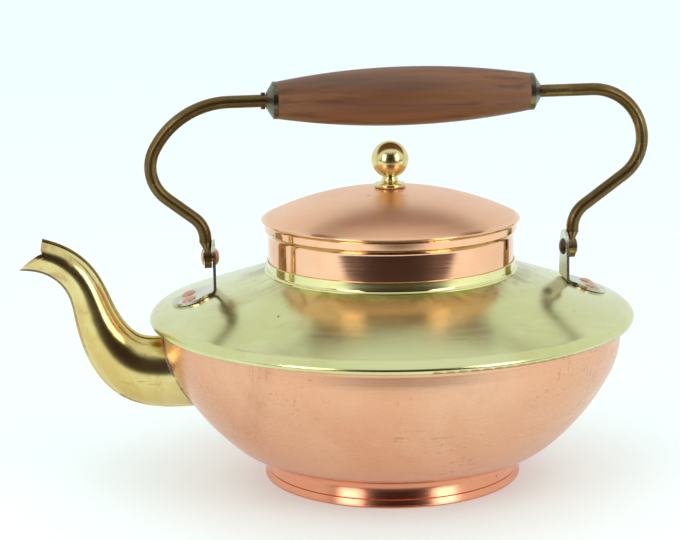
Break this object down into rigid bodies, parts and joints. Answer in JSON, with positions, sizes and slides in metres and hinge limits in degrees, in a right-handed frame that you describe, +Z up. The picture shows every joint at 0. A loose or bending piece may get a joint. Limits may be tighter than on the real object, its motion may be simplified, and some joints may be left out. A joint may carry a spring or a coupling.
{
  "type": "kettle",
  "caption": "Round-bellied stove kettle with a low cone shoulder, lift-off domed lid, curved side spout and a swinging bail handle with a spinning wooden grip.",
  "frame": {"origin": "centre of the foot ring's base, on the axis of the bowl", "axes": "+Z up, the spout points along -X, the bail handle lies in the XZ plane at rest"},
  "size_m": [0.2804, 0.216, 0.1832],
  "materials": {
    "bowl_copper": "satin copper with fine scratches",
    "lid_copper": "polished copper",
    "foot_copper": "polished copper, a little darker",
    "shoulder_brass": "satin brass",
    "spout_brass": "bright brass with brown tarnish",
    "knob_brass": "polished brass",
    "rod_brass": "aged brass",
    "lug_brass": "pale worn brass",
    "rivet_copper": "copper rivet, dull",
    "pivot_metal": "darkened copper",
    "ferrule_metal": "dark patina",
    "grip_wood": "oiled reddish brown wood"
  },
  "bodies": {
    "body": {"bowl": "bowl_copper", "foot_ring": "foot_copper", "shoulder": "shoulder_brass", "neck_ring": "shoulder_brass", "spout_near_half": "spout_brass", "spout_far_half": "spout_brass", "lug_left": "lug_brass", "lug_right": "lug_brass", "foot_rivets_left": "rivet_copper", "foot_rivets_right": "rivet_copper", "pivot_rivet_left": "pivot_metal", "pivot_rivet_right": "pivot_metal"},
    "handle": {"handle_rod": "rod_brass", "grip_pin_left": "ferrule_metal", "grip_pin_right": "ferrule_metal"},
    "grip": {"grip": "grip_wood", "ferrule_left": "ferrule_metal", "ferrule_right": "ferrule_metal"},
    "lid": {"lid": "lid_copper", "knob": "knob_brass", "knob_washer": "knob_brass"}
  },
  "joints": [
    {"name": "handle_swing", "type": "hinge", "parent": "body", "child": "handle", "pos_m": [0, 0, 0.1008], "axis": [1, 0, 0], "range_deg": [-60, 60]},
    {"name": "grip_spin", "type": "hinge", "parent": "handle", "child": "grip", "pos_m": [0, 0, 0.17022], "axis": [0.9999, 0, 0.0123], "continuous": true},
    {"name": "lid_lift", "type": "slide", "parent": "body", "child": "lid", "axis": [0, 0, 1], "range_m": [0, 0.005]}
  ]
}
